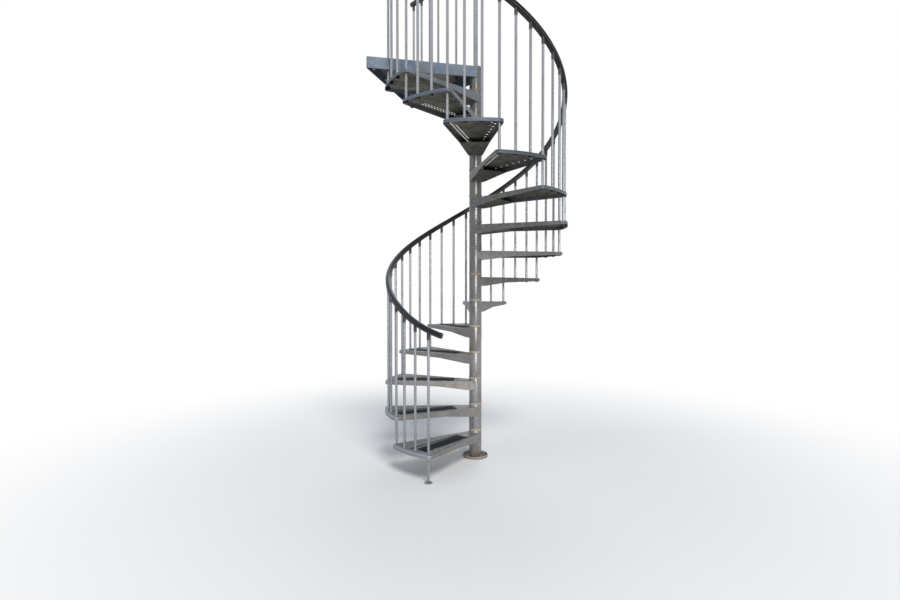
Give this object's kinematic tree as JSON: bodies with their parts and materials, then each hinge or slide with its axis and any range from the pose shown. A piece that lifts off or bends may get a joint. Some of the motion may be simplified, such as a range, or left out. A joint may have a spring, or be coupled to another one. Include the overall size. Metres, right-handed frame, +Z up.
{
  "type": "spiral staircase",
  "caption": "Spiral staircase with folded steel treads on a central column, tube balusters, a helical plastic handrail and a landing fixed to a wall.",
  "frame": {"origin": "underside of the base flange, on the axis of the column", "axes": "+Z up along the column, -X square to the wall that carries the landing"},
  "size_m": [1.53, 1.5199, 4.1938],
  "materials": {
    "galvanised_sheet": "dull galvanised",
    "galvanised_tube": "dull galvanised",
    "galvanised_column": "dull galvanised",
    "galvanised_bar": "dull galvanised",
    "black_plastic": "smooth moulded",
    "black_fittings": "moulded",
    "tan_plastic": "moulded, weathered",
    "grit_strip": "gritty anti slip tape"
  },
  "bodies": {
    "root": {"tread_01": "galvanised_sheet", "tread_02": "galvanised_sheet", "tread_03": "galvanised_sheet", "tread_04": "galvanised_sheet", "tread_05": "galvanised_sheet", "tread_06": "galvanised_sheet", "tread_07": "galvanised_sheet", "tread_08": "galvanised_sheet", "tread_09": "galvanised_sheet", "tread_10": "galvanised_sheet", "tread_11": "galvanised_sheet", "tread_12": "galvanised_sheet", "tread_13": "galvanised_sheet", "tread_14": "galvanised_sheet", "landing": "galvanised_sheet", "balusters_01": "galvanised_tube", "balusters_02": "galvanised_tube", "balusters_03": "galvanised_tube", "balusters_04": "galvanised_tube", "balusters_05": "galvanised_tube", "balusters_06": "galvanised_tube", "balusters_07": "galvanised_tube", "balusters_08": "galvanised_tube", "balusters_09": "galvanised_tube", "balusters_10": "galvanised_tube", "balusters_11": "galvanised_tube", "balusters_12": "galvanised_tube", "balusters_13": "galvanised_tube", "balusters_14": "galvanised_tube", "landing_balusters": "galvanised_tube", "base_flange": "galvanised_column", "centre_pole": "galvanised_column", "column_cap": "galvanised_column", "handrail_bar": "galvanised_bar", "landing_handrail_bar": "galvanised_bar", "handrail": "black_plastic", "landing_handrail": "black_plastic", "rail_connectors": "black_fittings", "baluster_collars": "black_fittings", "baluster_caps": "black_fittings", "first_baluster_foot": "black_fittings", "post_cap": "black_fittings", "spacer_rings": "tan_plastic", "anti_slip_strips": "grit_strip"}
  },
  "joints": []
}
